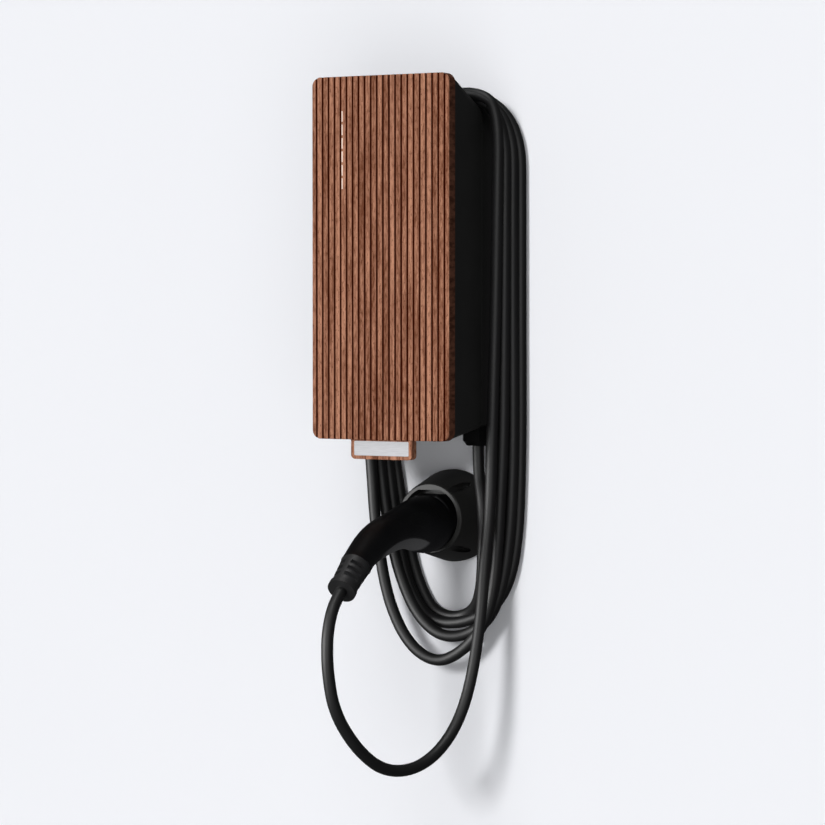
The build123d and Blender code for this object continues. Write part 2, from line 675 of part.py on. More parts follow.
with BuildPart() as gland_nut:
    with BuildSketch(GLAND_PLANE.offset(-NUT_TOP)):
        with Locations(GLAND_AT):
            RegularPolygon(GLAND_FLATS / 2, 6, major_radius=False)
    extrude(amount=-(GLAND_NUT - GLAND_DOME))
    with BuildSketch(GLAND_PLANE.offset(-(NUT_END - GLAND_DOME))):
        with Locations(GLAND_AT):
            Circle(GLAND_FLATS / 2 - FIT)
    extrude(amount=-GLAND_DOME, taper=GLAND_DOME_SLOPE)
    with BuildSketch(GLAND_PLANE.offset(-NUT_TOP)):
        with Locations(GLAND_AT):
            Circle(GLAND_THREAD / 2 + SCREW_FIT)
    extrude(amount=-(GLAND_TAIL_END + GLAND_SEAL_HEIGHT - NUT_TOP), mode=Mode.SUBTRACT)
    with BuildSketch(GLAND_PLANE.offset(-NUT_END)):
        with Locations(GLAND_AT):
            Circle(CABLE / 2 + FIT)
    extrude(amount=GLAND_NUT, mode=Mode.SUBTRACT)
write(gland_nut, "gland_nut")

with BuildPart() as gland_seal:
    with BuildSketch(GLAND_PLANE.offset(-GLAND_TAIL_END)):
        with Locations(GLAND_AT):
            Circle(GLAND_THREAD / 2)
            Circle(GLAND_SEAL_BORE / 2, mode=Mode.SUBTRACT)
    extrude(amount=-GLAND_SEAL_HEIGHT)
write(gland_seal, "gland_seal")

# Rubber inlet for the supply, closed by a web
with BuildPart() as inlet_grommet:
    with BuildSketch(GLAND_PLANE):
        with Locations(INLET_AT):
            Circle(INLET_HOLE / 2)
    extrude(amount=NECK_WALL)
    with BuildSketch(GLAND_PLANE):
        with Locations(INLET_AT):
            Circle(INLET_FLANGE / 2)
    extrude(amount=-INLET_FLANGE_HEIGHT)
    with BuildSketch(Plane.XY.offset(NECK_FLOOR)):
        with Locations(INLET_AT):
            Circle(INLET_FLANGE / 2)
    extrude(amount=INLET_FLANGE_HEIGHT)
    with BuildSketch(GLAND_PLANE.offset(-INLET_FLANGE_HEIGHT)):
        with Locations(INLET_AT):
            Circle(INLET_BORE / 2)
    extrude(amount=NECK_WALL + 2 * INLET_FLANGE_HEIGHT - INLET_WEB, mode=Mode.SUBTRACT)
write(inlet_grommet, "inlet_grommet")

# Dock: a cone on the wall that the plug is pushed into
with BuildPart() as dock_body:
    with BuildSketch(Plane(origin=(DOCK_X, 0, DOCK_Z), x_dir=(1, 0, 0), z_dir=(0, 0, 1))):
        with BuildLine():
            Polyline(
                (0, 0),
                (DOCK_RADIUS, 0),
                (DOCK_RADIUS, -DOCK_FLANGE),
                (DOCK_RIM_RADIUS, -DOCK_DEPTH),
                (0, -DOCK_DEPTH),
                close=True,
            )
        make_face()
    revolve(axis=DOCK_AXIS)
    chamfer(dock_body.faces().sort_by(Axis.Y)[0].edges(), DOCK_RIM_EDGE)
    with BuildSketch(Plane.XZ.offset(DOCK_DEPTH)):
        with Locations(DOCK_AT):
            d_shape(NOSE_RADIUS + NOSE_GAP, NOSE_FLAT + NOSE_GAP)
    extrude(amount=-(DOCK_DEPTH - DOCK_FLOOR), mode=Mode.SUBTRACT)
    with BuildSketch(Plane.XZ.offset(DOCK_DEPTH)):
        with Locations(DOCK_AT):
            d_shape(COLLAR_RADIUS + MOUTH_GAP, COLLAR_FLAT + MOUTH_RISE)
    extrude(amount=-MOUTH_DEPTH, mode=Mode.SUBTRACT)
    with BuildSketch(Plane.XZ.offset(DOCK_DEPTH)):
        with Locations(*DOCK_SCREW_PLACES):
            Circle(DOCK_POCKET / 2)
    extrude(amount=-(DOCK_DEPTH - DOCK_FLANGE), mode=Mode.SUBTRACT)
    with BuildSketch(Plane.XZ.offset(DOCK_FLANGE)):
        with Locations(*DOCK_SCREW_PLACES):
            Circle(DOCK_SCREW / 2 + SCREW_FIT)
    extrude(amount=-DOCK_FLANGE, mode=Mode.SUBTRACT)
write(dock_body, "dock_body")

with BuildPart() as dock_screws:
    with BuildSketch(Plane.XZ.offset(DOCK_FLANGE)):
        with Locations(*DOCK_SCREW_PLACES):
            Circle(DOCK_SCREW_HEAD / 2)
    extrude(amount=DOCK_SCREW_HEAD_HEIGHT)
    with BuildSketch(Plane.XZ.offset(DOCK_FLANGE)):
        with Locations(*DOCK_SCREW_PLACES):
            Circle(DOCK_SCREW / 2)
    extrude(amount=-DOCK_FLANGE)
write(dock_screws, "dock_screws")

# Plug: contact nose, contacts, seal, handle and strain relief
POWER_PLACES = [
    (DOCK_X + CONTACT_CIRCLE * cos(radians(angle)), DOCK_Z + CONTACT_CIRCLE * sin(radians(angle)))
    for angle in (180, 225, 315, 360)
]
SIGNAL_PLACES = [(DOCK_X + side * CONTACT_CIRCLE / 2, DOCK_Z + SIGNAL_RISE) for side in (-1, 1)]

with BuildPart() as plug_nose:
    with BuildSketch(Plane.XZ.offset(DOCK_FLOOR)):
        with Locations(DOCK_AT):
            d_shape(NOSE_RADIUS, NOSE_FLAT)
    extrude(amount=NOSE_END - DOCK_FLOOR)
    with BuildSketch(Plane.XZ.offset(DOCK_FLOOR)):
        with Locations(DOCK_AT, *POWER_PLACES):
            Circle(POWER_CONTACT / 2 + CONTACT_FIT)
        with Locations(*SIGNAL_PLACES):
            Circle(SIGNAL_CONTACT / 2 + CONTACT_FIT)
    extrude(amount=SOCKET_DEPTH, mode=Mode.SUBTRACT)
write(plug_nose, "plug_nose")

with BuildPart() as plug_contacts:
    with BuildSketch(Plane.XZ.offset(DOCK_FLOOR + SOCKET_DEPTH)):
        with Locations(DOCK_AT, *POWER_PLACES):
            Circle(POWER_CONTACT / 2)
        with Locations(*SIGNAL_PLACES):
            Circle(SIGNAL_CONTACT / 2)
    extrude(amount=-CONTACT_LENGTH)
write(plug_contacts, "plug_contacts")

with BuildPart() as plug_seal:
    with BuildSketch(Plane.XZ.offset(NOSE_END)):
        with Locations(DOCK_AT):
            d_shape(NOSE_SEAL_RADIUS, NOSE_FLAT + NOSE_SEAL_RADIUS - NOSE_RADIUS)
            Circle(CONTACT_CIRCLE, mode=Mode.SUBTRACT)
    extrude(amount=NOSE_SEAL_DEPTH)
write(plug_seal, "plug_seal")

with BuildPart() as plug_handle:
    with BuildSketch(Plane.XZ.offset(NOSE_END + NOSE_SEAL_DEPTH)):
        with Locations(DOCK_AT):
            d_shape(COLLAR_RADIUS, COLLAR_FLAT)
    extrude(amount=COLLAR_END - NOSE_END - NOSE_SEAL_DEPTH)
    fillet(plug_handle.faces().sort_by(Axis.Y)[0].edges(), COLLAR_EDGE)
    for out, height, tilt, width, thickness in HANDLE:
        with BuildSketch(tilted_plane(out, height, tilt)):
            Ellipse(width / 2, thickness / 2)
    loft()
write(plug_handle, "plug_handle")

HANDLE_OUT, HANDLE_Z, HANDLE_TILT = HANDLE[-1][:3]
RELIEF_PLANE = tilted_plane(HANDLE_OUT, HANDLE_Z, HANDLE_TILT)
RELIEF_TIP = RELIEF_PLANE.offset(RELIEF_LENGTH)
with BuildPart() as strain_relief:
    with BuildSketch(RELIEF_PLANE):
        Circle(RELIEF_START / 2)
    with BuildSketch(RELIEF_PLANE.offset(RELIEF_LENGTH - RELIEF_RING_HEIGHT)):
        Circle(RELIEF_END / 2)
    loft()
    with BuildSketch(RELIEF_PLANE.offset(RELIEF_LENGTH - RELIEF_RING_HEIGHT)):
        Circle(RELIEF_RING / 2)
    extrude(amount=RELIEF_RING_HEIGHT)
    for row in range(RELIEF_SLOTS):
        depth_here = RELIEF_SLOT_FIRST + row * RELIEF_SLOT_PITCH
        with BuildSketch(RELIEF_PLANE.offset(depth_here)):
            for turn in range(4):
                with Locations(Rotation(0, 0, RELIEF_SLOT_TURN + 90 * turn)):
                    with Locations((RELIEF_START / 2, 0)):
                        Rectangle(2 * RELIEF_SLOT_DEPTH, RELIEF_SLOT_WIDTH)
        extrude(amount=RELIEF_SLOT, mode=Mode.SUBTRACT)
write(strain_relief, "strain_relief")

# Cable: the wound part as one ring, then the lead from the gland and the tail to the plug


def tangent_points(first, second):
    """Where the outer tangent of two circles (x, z, radius) leaves one and meets the other."""
    along = Vector(second[0] - first[0], second[1] - first[1])
    lean = acos((first[2] - second[2]) / along.length)
    normal = along.normalized().rotate(Axis.Z, -degrees(lean))
    return [Vector(x, z) + normal * radius for x, z, radius in (first, second)]


def coil_form(inner):
    """The loop that the turns fill, from the wall to the head: its hollow, or its outside."""
    grow = -CABLE / 2 if inner else CABLE / 2
    low = COIL_LOW_INNER if inner else COIL_LOW_OUTER
    back = (COIL_BACK, COIL_BACK_X, COIL_BACK_RISE, COIL_BACK_RADIUS)
    front = (COIL_FRONT, COIL_FRONT_X, 0, COIL_FRONT_RADIUS)
    with BuildPart() as form:
        for out, side_x, rise, bend in (back, front):
            corner = bend + grow
            corner_x = side_x - bend
            corner_z = NECK_TOP + CORD_CLEAR + CABLE / 2 - bend + rise
            bends = [low, (corner_x, corner_z, corner), (-corner_x, corner_z, corner)]
            runs = [tangent_points(bends[i], bends[(i + 1) % 3]) for i in range(3)]
            with BuildSketch(Plane.XZ.offset(out)):
                with BuildLine():
                    for i, (x, z, radius) in enumerate(bends):
                        arrive, leave = runs[i - 1][1], runs[i][0]
                        centre = Vector(x, z)
                        half_way = (arrive + leave) / 2 - centre
                        outward = centre - (runs[i - 1][0] + runs[i][1]) / 2
                        away = half_way if half_way.dot(outward) > 0 else -half_way
                        ThreePointArc(arrive, centre + away.normalized() * radius, leave)
                        Line(*runs[i])
                make_face()
        loft(ruled=True)
    return form.part


coil_outside = coil_form(False)
coil_hollow = coil_form(True)
with BuildPart() as cable_coil:
    add(coil_outside)
    add(coil_hollow, mode=Mode.SUBTRACT)
write(cable_coil, "cable_coil")

lead_top = (GLAND_X, -GLAND_OUT, NECK_BOTTOM - GLAND_TAIL_END - GLAND_SEAL_HEIGHT)
lead_tube = cable_tube("lead", [lead_top, *LEAD_POINTS])
with BuildPart() as cable_lead:
    add(lead_tube)
    add(cable_coil.part, mode=Mode.SUBTRACT)
write(cable_lead, "cable_lead")

relief_run = RELIEF_TIP.origin + RELIEF_TIP.z_dir * TAIL_LAST_RUN
tail_tube = cable_tube("tail", [*TAIL_POINTS, relief_run, RELIEF_TIP.origin])
with BuildPart() as cable_tail:
    add(tail_tube)
    add(cable_coil.part, mode=Mode.SUBTRACT)
write(cable_tail, "cable_tail")
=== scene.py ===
# %% [markdown]
# # A wall charger with a slatted wooden front
#
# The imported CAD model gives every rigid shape. This script adds what CAD leaves plain: the cable as one
# smooth curve, and a procedural material for each surface. Everything is in metres in the part's own
# frame: the wall is the plane Y = 0, the front looks along -Y, X runs to the right and Z up.

# %% Load the frame
import json
import math

import bpy
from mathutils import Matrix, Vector


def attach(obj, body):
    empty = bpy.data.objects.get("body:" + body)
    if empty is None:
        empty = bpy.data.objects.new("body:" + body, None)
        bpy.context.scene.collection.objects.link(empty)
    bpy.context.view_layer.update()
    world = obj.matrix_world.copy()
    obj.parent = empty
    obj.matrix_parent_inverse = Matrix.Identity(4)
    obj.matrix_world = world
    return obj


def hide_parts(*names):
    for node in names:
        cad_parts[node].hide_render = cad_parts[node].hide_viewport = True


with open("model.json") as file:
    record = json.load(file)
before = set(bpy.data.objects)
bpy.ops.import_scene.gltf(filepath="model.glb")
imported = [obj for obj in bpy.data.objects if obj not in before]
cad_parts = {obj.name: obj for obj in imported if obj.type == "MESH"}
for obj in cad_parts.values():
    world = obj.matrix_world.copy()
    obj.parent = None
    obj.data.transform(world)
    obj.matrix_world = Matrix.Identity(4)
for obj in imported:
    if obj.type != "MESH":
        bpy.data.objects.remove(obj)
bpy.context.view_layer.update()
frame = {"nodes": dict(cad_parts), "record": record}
nodes = frame["nodes"]
scene = bpy.context.scene

# %% [markdown]
# ## Camera
#
# The photograph was taken from the right of the box, slightly below its middle, with a long lens. The
# place, the two angles and the focal length come from the corners of the front cover.

# %% Camera
SENSOR = 36.0
FOCAL_SHARE = 2900 / 825          # focal length as a share of the picture's width
CAMERA_PLACE = (1.5301, -2.9320, -0.0559)
CAMERA_DOWN = math.radians(2.045)
CAMERA_TURN = math.radians(28.08)
camera_data = bpy.data.cameras.new("camera")
camera_data.sensor_width = SENSOR
camera_data.lens = SENSOR * FOCAL_SHARE
camera_data.clip_end = 50
camera = bpy.data.objects.new("camera", camera_data)
camera.location = CAMERA_PLACE
camera.rotation_euler = (math.pi / 2 - CAMERA_DOWN, 0, CAMERA_TURN)
scene.collection.objects.link(camera)
scene.camera = camera
print("camera lens:", round(camera_data.lens, 1), "mm")

# %% [markdown]
# ## Cable route
#
# The cable leaves the gland, drops past the dock, makes four turns round the neck of the box and ends in
# the plug. A turn is a bottom bend, a left run, a top with two round corners and a right run. The turns
# lie one cable diameter further from the wall each time, and the ones at the wall have rounder corners.
# Points are (X, distance from the wall, Z) in mm, as in the CAD.

# %% Cable route
CABLE = 13.0
LEAD = [(63.5, 26, -208), (63.5, 26, -236), (75.3, 39.5, -272), (77.2, 42, -314)]
TURN_AT_WALL = [
    (76.5, 41, -346), (71.5, 35, -370), (60, 22, -389), (42, 9.5, -402), (20, 7.5, -407), (-2, 7.5, -400),
    (-14, 7.5, -384), (-25, 7.5, -360), (-33, 7.5, -332), (-42, 7.5, -290), (-50.5, 7.5, -243),
    (-72.7, 7.5, -90), (-94.4, 7.5, 60), (-106.5, 7.5, 143), (-64.3, 7.5, 185.5), (0, 7.5, 185.5),
    (64.3, 7.5, 185.5), (106.5, 7.5, 143), (107, 7.5, 60), (107.2, 7.5, -60), (107.8, 7.5, -175),
]
SECOND_TURN = [
    (107.4, 7.5, -214), (106.5, 7.5, -257), (104, 7.5, -311), (96, 9, -360), (78, 13.5, -393),
    (48, 19, -409), (16, 20.5, -413), (-5, 20.5, -405), (-18, 20.5, -389), (-30, 20.5, -366),
    (-38, 20.5, -337), (-47.5, 20.5, -285), (-54.8, 20.5, -231), (-73, 20.5, -90), (-92.4, 20.5, 60),
    (-103.5, 20.5, 146),
    (-64.8, 20.5, 185), (0, 20.5, 185), (64.8, 20.5, 185), (103.5, 20.5, 146), (103.2, 20.5, 60),
    (103.5, 20.5, -60), (104.4, 20.5, -175),
]
THIRD_TURN = [
    (104, 20.5, -214), (103, 20.5, -257), (99.8, 20.5, -311), (92, 21, -365), (78.5, 23, -403),
    (54, 27, -422), (28, 32, -427), (6, 33.5, -418), (-14, 33.5, -396.5), (-28, 33.5, -369),
    (-39.5, 33.5, -337), (-52, 33.5, -281), (-58, 33.5, -231), (-74, 33.5, -90), (-90.6, 33.5, 60),
    (-100.5, 33.5, 150),
    (-66.5, 33.5, 184.5), (0, 33.5, 184.5), (66.5, 33.5, 184.5), (100.5, 33.5, 150), (100.2, 33.5, 60),
    (99.6, 33.5, -60), (98.6, 33.5, -175),
]
FRONT_TURN = [
    (97.6, 33.5, -213), (95.5, 33.5, -256), (92.5, 33.5, -310), (88, 33.5, -362), (80.5, 35, -398),
    (67, 37.5, -423), (48, 40, -442), (24, 43, -454), (0, 46, -446), (-20, 46.5, -426), (-35, 46.5, -398),
    (-44.7, 46.5, -368), (-50.5, 46.5, -338), (-58, 46.5, -293), (-61.5, 46.5, -240), (-75, 46.5, -90),
    (-88.6, 46.5, 60), (-98.5, 46.5, 164), (-77.5, 46.5, 184), (-35, 46.5, 184), (35, 46.5, 184),
    (77.5, 46.5, 184), (98.5, 46.5, 164), (97, 46.5, 60), (95, 46.5, -60), (91.6, 46.5, -175),
]
TAIL = [
    (90.5, 47.5, -222), (90, 49, -275), (88.5, 60, -340), (89.5, 72, -404), (87, 95.6, -481.8),
    (78.1, 124, -527.5), (64.8, 166.4, -553.5), (49.5, 215.5, -553), (37, 255.3, -526),
    (26.6, 288.5, -481.8), (23.6, 297.5, -438), (22.6, 297.1, -407.7), (22, 293.1, -391.9),
    (21.2, 285.8, -377.3), (20.5, 275.36, -364.66), (20.5, 262.52, -354.63),
]
route = LEAD + TURN_AT_WALL + SECOND_TURN + THIRD_TURN + FRONT_TURN + TAIL
print("route points:", len(route))

# %% [markdown]
# The route's points become the control points of one open NURBS curve. Its order and end setting are
# given after the points exist. Each point's radius is the cable's, on a bevel of one metre.

# %% Cable
cable_data = bpy.data.curves.new("charging_cable", "CURVE")
cable_data.dimensions = "3D"
cable_data.bevel_depth = 1.0
cable_data.bevel_resolution = 6
cable_data.resolution_u = 8
cable_data.use_fill_caps = True
spline = cable_data.splines.new("NURBS")
spline.points.add(len(route) - 1)
for point, (x, out, z) in zip(spline.points, route):
    point.co = (x / 1000, -out / 1000, z / 1000, 1)
    point.radius = CABLE / 2000
spline.order_u = 3
spline.use_endpoint_u = True
spline.use_smooth = True
cable = bpy.data.objects.new("charging_cable", cable_data)
scene.collection.objects.link(cable)
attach(cable, "root")
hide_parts("cable_lead", "cable_coil", "cable_tail")
print("cable points:", len(spline.points))

# %% [markdown]
# ## Shader maths
#
# A small wrapper round a socket lets the materials be written as formulas. The operators add Math nodes,
# and `node` adds any other node to the same tree.


# %% Socket wrapper
class Wire:
    """An output socket of a material; working with it adds nodes to the material."""

    def __init__(self, tree, socket):
        self.tree = tree
        self.socket = socket

    def feed(self, slot, value):
        """Put a wire or a plain value into an input."""
        if isinstance(value, Wire):
            self.tree.links.new(value.socket, slot)
        else:
            slot.default_value = value

    def node(self, kind, inputs, out=0, **settings):
        """Any node, with its inputs by name or number."""
        made = self.tree.nodes.new(kind)
        for key, value in settings.items():
            setattr(made, key, value)
        for key, value in inputs.items():
            self.feed(made.inputs[key], value)
        return Wire(self.tree, made.outputs[out])

    def math(self, operation, *terms):
        return self.node("ShaderNodeMath", dict(enumerate(terms)), operation=operation)

    def __add__(self, other):
        return self.math("ADD", self, other)

    def __sub__(self, other):
        return self.math("SUBTRACT", self, other)

    def __rsub__(self, other):
        return self.math("SUBTRACT", other, self)

    def __mul__(self, other):
        return self.math("MULTIPLY", self, other)

    def __truediv__(self, other):
        return self.math("DIVIDE", self, other)

    def __rtruediv__(self, other):
        return self.math("DIVIDE", other, self)

    def __abs__(self):
        return self.math("ABSOLUTE", self)

    __radd__ = __add__
    __rmul__ = __mul__

    def floor(self):
        return self.math("FLOOR", self)

    def sine(self):
        return self.math("SINE", self)

    def larger(self, other):
        return self.math("MAXIMUM", self, other)

    def step(self, low, high):
        """0 below low, 1 above high, and smooth between them."""
        inputs = {"Value": self, "From Min": low, "From Max": high}
        return self.node("ShaderNodeMapRange", inputs, interpolation_type="SMOOTHSTEP")

    def noise(self, scale, detail=4.0, roughness=0.5, stretch=(1, 1, 1)):
        """Noise from a coordinate, drawn out along an axis by a small stretch."""
        where = self.node("ShaderNodeVectorMath", {0: self, 1: stretch}, operation="MULTIPLY")
        inputs = {"Vector": where, "Scale": scale, "Detail": detail, "Roughness": roughness}
        return self.node("ShaderNodeTexNoise", inputs)

    def split(self):
        made = self.tree.nodes.new("ShaderNodeSeparateXYZ")
        self.tree.links.new(self.socket, made.inputs[0])
        return [Wire(self.tree, socket) for socket in made.outputs]

    def mix(self, first, second):
        """A colour between two, by this wire."""
        inputs = {0: self, 6: first, 7: second}
        return self.node("ShaderNodeMix", inputs, out=2, data_type="RGBA")

    def bump(self, distance, strength=1.0):
        return self.node("ShaderNodeBump", {"Height": self, "Distance": distance, "Strength": strength})


def material(name):
    """A new material: itself, its shader and its object coordinates."""
    made = bpy.data.materials.new(name)
    made.use_nodes = True
    tree = made.node_tree
    shader = next(node for node in tree.nodes if node.type == "BSDF_PRINCIPLED")
    place = Wire(tree, tree.nodes.new("ShaderNodeTexCoord").outputs["Object"])
    return made, shader, place


def rgb(red, green, blue):
    """A colour as seen on screen, 0 to 255, as the shader takes it."""
    values = [value / 255 for value in (red, green, blue)]
    return tuple(v / 12.92 if v <= 0.04045 else ((v + 0.055) / 1.055) ** 2.4 for v in values) + (1.0,)


print("wrapper ready")

# %% [markdown]
# ## Wood
#
# Walnut with its grain upright. Slow bands, long streaks, short flecks and fine fibres are noises drawn
# out along Z by different amounts, and the darkest flecks are the open pores. Each slat has its own tone
# and its own stretch of the pattern. Beside a groove the wood is painted darker, with an uneven edge, as
# painted shade. The groove's floor is painted a very dark red-brown, as painted shade in the recess. The
# cover's sides and the faces behind its front take a darker board colour in uneven bands, as painted shade
# on faces turned from the light. The label tab below the cover is plain wood with no grooves.

# %% Wood
GROOVE_PITCH = 0.0076
GROOVE_SHARE = 0.29               # the groove's part of one pitch
GROOVE_DEPTH = 0.0018
MIDDLE_SLAT = 100.5               # the count at X = 0, halfway across a slat and well above zero
FACE = -0.140                     # the cover's face
SIDE = 0.0852                     # just inside the cover's side
COVER_BOTTOM = -0.200
WOOD_DARK = rgb(106, 62, 43)
WOOD_LIGHT = rgb(198, 142, 114)
PORE = rgb(78, 38, 22)
# painted shade beside a groove
GROOVE_LIP_SHADE = rgb(104, 48, 26)
# painted shade on a groove's floor
GROOVE_FLOOR_SHADE = rgb(58, 12, 1)
# painted shade on the cover's sides and the faces behind its front
BOARD_SHADE_DARK = rgb(70, 41, 30)
BOARD_SHADE_LIGHT = rgb(110, 72, 56)


def wood():
    made, shader, place = material("walnut")
    x, y, z = place.split()
    count = x / GROOVE_PITCH + MIDDLE_SLAT
    slat = count.floor()
    tone = slat.node("ShaderNodeTexWhiteNoise", {"W": slat}, noise_dimensions="1D")
    shifted = place.node("ShaderNodeCombineXYZ", {0: x, 1: y, 2: z + tone * 0.35})
    bands = shifted.noise(75, 3, 0.6, (1.5, 1.5, 0.12))
    streaks = shifted.noise(420, 4, 0.65, (1, 1, 0.04))
    flecks = shifted.noise(520, 3, 0.6, (1, 1, 0.22))
    fibre = shifted.noise(1000, 3, 0.7, (1, 1, 0.15))
    pores = shifted.noise(700, 2, 0.6, (1, 1, 0.30)).step(0.58, 0.66)
    light = bands * 0.34 + streaks * 0.30 + flecks * 0.34 + fibre * 0.12 + (tone - 0.5) * 0.08
    colour = light.step(0.40, 0.70).mix(WOOD_DARK, WOOD_LIGHT)
    colour = (pores * 0.6).mix(colour, PORE)
    cover = z.step(COVER_BOTTOM - 0.0004, COVER_BOTTOM)
    across = abs(count - slat - 0.5) * 2
    # Painted shade: the wood beside each groove is darkened, with an uneven edge.
    groove_lip_shade = (across + (flecks - 0.5) * 0.5).step(0.98 - 1.5 * GROOVE_SHARE, 1.02 - GROOVE_SHARE)
    colour = (groove_lip_shade * cover * 0.45).mix(colour, GROOVE_LIP_SHADE)
    # Painted shade: the groove's floor is painted a very dark red-brown.
    depth = y - FACE
    groove = depth.step(0.0003, 0.0012) * across.step(0.98 - GROOVE_SHARE, 1 - GROOVE_SHARE)
    colour = (groove * cover).mix(colour, GROOVE_FLOOR_SHADE)
    # Painted shade: the cover's sides and the faces behind its front take a darker board colour in uneven
    # bands.
    edge = place.noise(160, 4, 0.65, (0.3, 0.3, 1))
    board = edge.step(0.35, 0.65).mix(BOARD_SHADE_DARK, BOARD_SHADE_LIGHT)
    deep = depth.step(GROOVE_DEPTH, GROOVE_DEPTH + 0.0002)
    behind = deep.larger(abs(x).step(SIDE, SIDE + 0.0003))
    colour = (behind * cover).mix(colour, board)
    shader.inputs["Specular IOR Level"].default_value = 0.02
    pores.feed(shader.inputs["Base Color"], colour)
    pores.feed(shader.inputs["Roughness"], 0.55 + fibre * 0.16 + pores * 0.1)
    pores.feed(shader.inputs["Normal"], (streaks * 0.5 + flecks * 0.4 - pores * 0.7).bump(0.0003, 0.6))
    return made


walnut = wood()
print("made", walnut.name)

# %% [markdown]
# ## Plastic, rubber and cable
#
# Moulded plastic has a fine even grain that shows in its highlights, and a faint cloudiness in its colour
# and roughness. The cable's jacket and the rubbers differ in tone, roughness and grain. The light guide
# glows a little, as a status light does.

# %% Plastics
GRAIN_SCALE = 2600.0
CLOUD_SCALE = 28.0
CLOUD_SPREAD = 0.08


def plastic(
    name, colour, roughness, grain=0.00003, scale=GRAIN_SCALE, spread=CLOUD_SPREAD, level=0.25, glow=0.0
):
    made, shader, place = material(name)
    speck = place.noise(scale, 2, 0.6)
    cloud = place.noise(CLOUD_SCALE, 3, 0.55)
    shade = tuple(value * 0.8 for value in colour[:3]) + (1.0,)
    shader.inputs["Specular IOR Level"].default_value = level
    shader.inputs["Emission Color"].default_value = colour
    shader.inputs["Emission Strength"].default_value = glow
    speck.feed(shader.inputs["Base Color"], cloud.step(0.3, 0.7).mix(shade, colour))
    speck.feed(shader.inputs["Roughness"], roughness + (cloud - 0.5) * spread + (speck - 0.5) * spread)
    speck.feed(shader.inputs["Normal"], speck.bump(grain, 0.6))
    return made


plastics = {
    "housing": plastic("moulded_black", rgb(33, 33, 32), 0.44, level=0.35),
    "gland": plastic("gland_black", rgb(13, 13, 14), 0.4, level=0.3),
    "component": plastic("component_grey", rgb(70, 72, 74), 0.5),
    "terminal": plastic("terminal_grey", rgb(205, 206, 200), 0.4),
    "board": plastic("board_green", rgb(28, 92, 56), 0.35),
    "seal": plastic("seal_rubber", rgb(13, 13, 13), 0.75, 0.00006, level=0.2),
    "relief": plastic("relief_rubber", rgb(34, 34, 35), 0.5, 0.00005, level=0.5),
    "cable": plastic("cable_jacket", rgb(15, 15, 16), 0.52, 0.00004, 1400.0, 0.12, level=0.6),
    "bracket": plastic("powder_black", rgb(30, 30, 32), 0.55, 0.00008, 1500.0),
    "light": plastic("light_guide", rgb(250, 226, 210), 0.3, glow=0.2),
}
print("plastics:", len(plastics))

# %% [markdown]
# The plug's handle is moulded in two shots. A seam runs along each cheek in a shallow arc, and the softer
# plastic below it stands a little lower; its lighter grey is painted light, as from a lamp below. A
# cross-hatched patch near the collar and a dotted one in front of it give the fingers a hold. All of the
# relief is shallow, so it is made by bump. The seam's height is a parabola of the distance from the wall,
# and a patch is an ellipse, given by its middle and half sizes.

# %% Plug
PLUG_X = 0.0205                   # the plug's middle plane
SEAM_TOP = -0.3056
SEAM_MIDDLE = 0.145
SEAM_BEND = 4.2
GRIP_START = (0.098, 0.106)
GRIP_END = (0.190, 0.206)
CHEEK = (0.014, 0.018)            # distance from the middle plane at which the patches begin
PATCH_PITCH = 0.0028
HATCH_PATCH = (0.083, -0.280, 0.015, 0.014)
DOT_PATCH = (0.124, -0.288, 0.022, 0.009)
PLUG_SHADE = rgb(8, 8, 9)
PLUG_BLACK = rgb(11, 11, 12)
# painted light: the plastic below the seam is lighter, as lit from below
GRIP_PAINTED_LIGHT_GREY = rgb(44, 44, 45)


def patch(out, z, middle, height, long, tall):
    """1 inside an ellipse on the handle's side, 0 outside it."""
    along = (out - middle) / long
    up = (z - height) / tall
    return 1 - (along * along + up * up).step(0.8, 1.0)


def plug_plastic():
    made, shader, place = material("plug_black")
    x, y, z = place.split()
    out = 0 - y
    bend = out - SEAM_MIDDLE
    below = SEAM_TOP - bend * bend * SEAM_BEND - z
    length = out.step(*GRIP_START) * (1 - out.step(*GRIP_END))
    lower_shot_and_painted_light = below.step(0, 0.0008) * length
    seam = (1 - abs(below).step(0.0002, 0.0010)) * length
    turn = 2 * math.pi / PATCH_PITCH
    rising = ((out + z) * turn).sine()
    falling = ((out - z) * turn).sine()
    cheek = abs(x - PLUG_X).step(*CHEEK)
    hatch = rising.larger(falling).step(0.6, 0.9) * patch(out, z, *HATCH_PATCH)
    dots = (rising * falling).step(0.3, 0.6) * patch(out, z, *DOT_PATCH)
    speck = place.noise(GRAIN_SCALE, 2, 0.6)
    cloud = place.noise(CLOUD_SCALE, 3, 0.55)
    shader.inputs["Specular IOR Level"].default_value = 0.12
    colour = cloud.step(0.3, 0.7).mix(PLUG_SHADE, PLUG_BLACK)
    # Painted light: below the seam the plastic is painted a lighter grey, as lit from below.
    colour = lower_shot_and_painted_light.mix(colour, GRIP_PAINTED_LIGHT_GREY)
    uneven = (cloud - 0.5) * CLOUD_SPREAD + (speck - 0.5) * CLOUD_SPREAD
    speck.feed(shader.inputs["Base Color"], colour)
    speck.feed(shader.inputs["Roughness"], 0.42 + uneven + lower_shot_and_painted_light * 0.12)
    relief = (hatch + dots) * cheek * 0.5 - lower_shot_and_painted_light * 0.6 - seam * 1.2 + speck * 0.03
    speck.feed(shader.inputs["Normal"], relief.bump(0.0008))
    return made


plastics["plug"] = plug_plastic()
print("made", plastics["plug"].name)

# %% [markdown]
# ## Metal
#
# The label plate is brushed across its width and lacquered, so little of it mirrors as bare metal: the
# noise is drawn out along X and varies the tone, the roughness and a very small bump. Screws have an even
# grain, and turned pieces have theirs drawn out along Y.


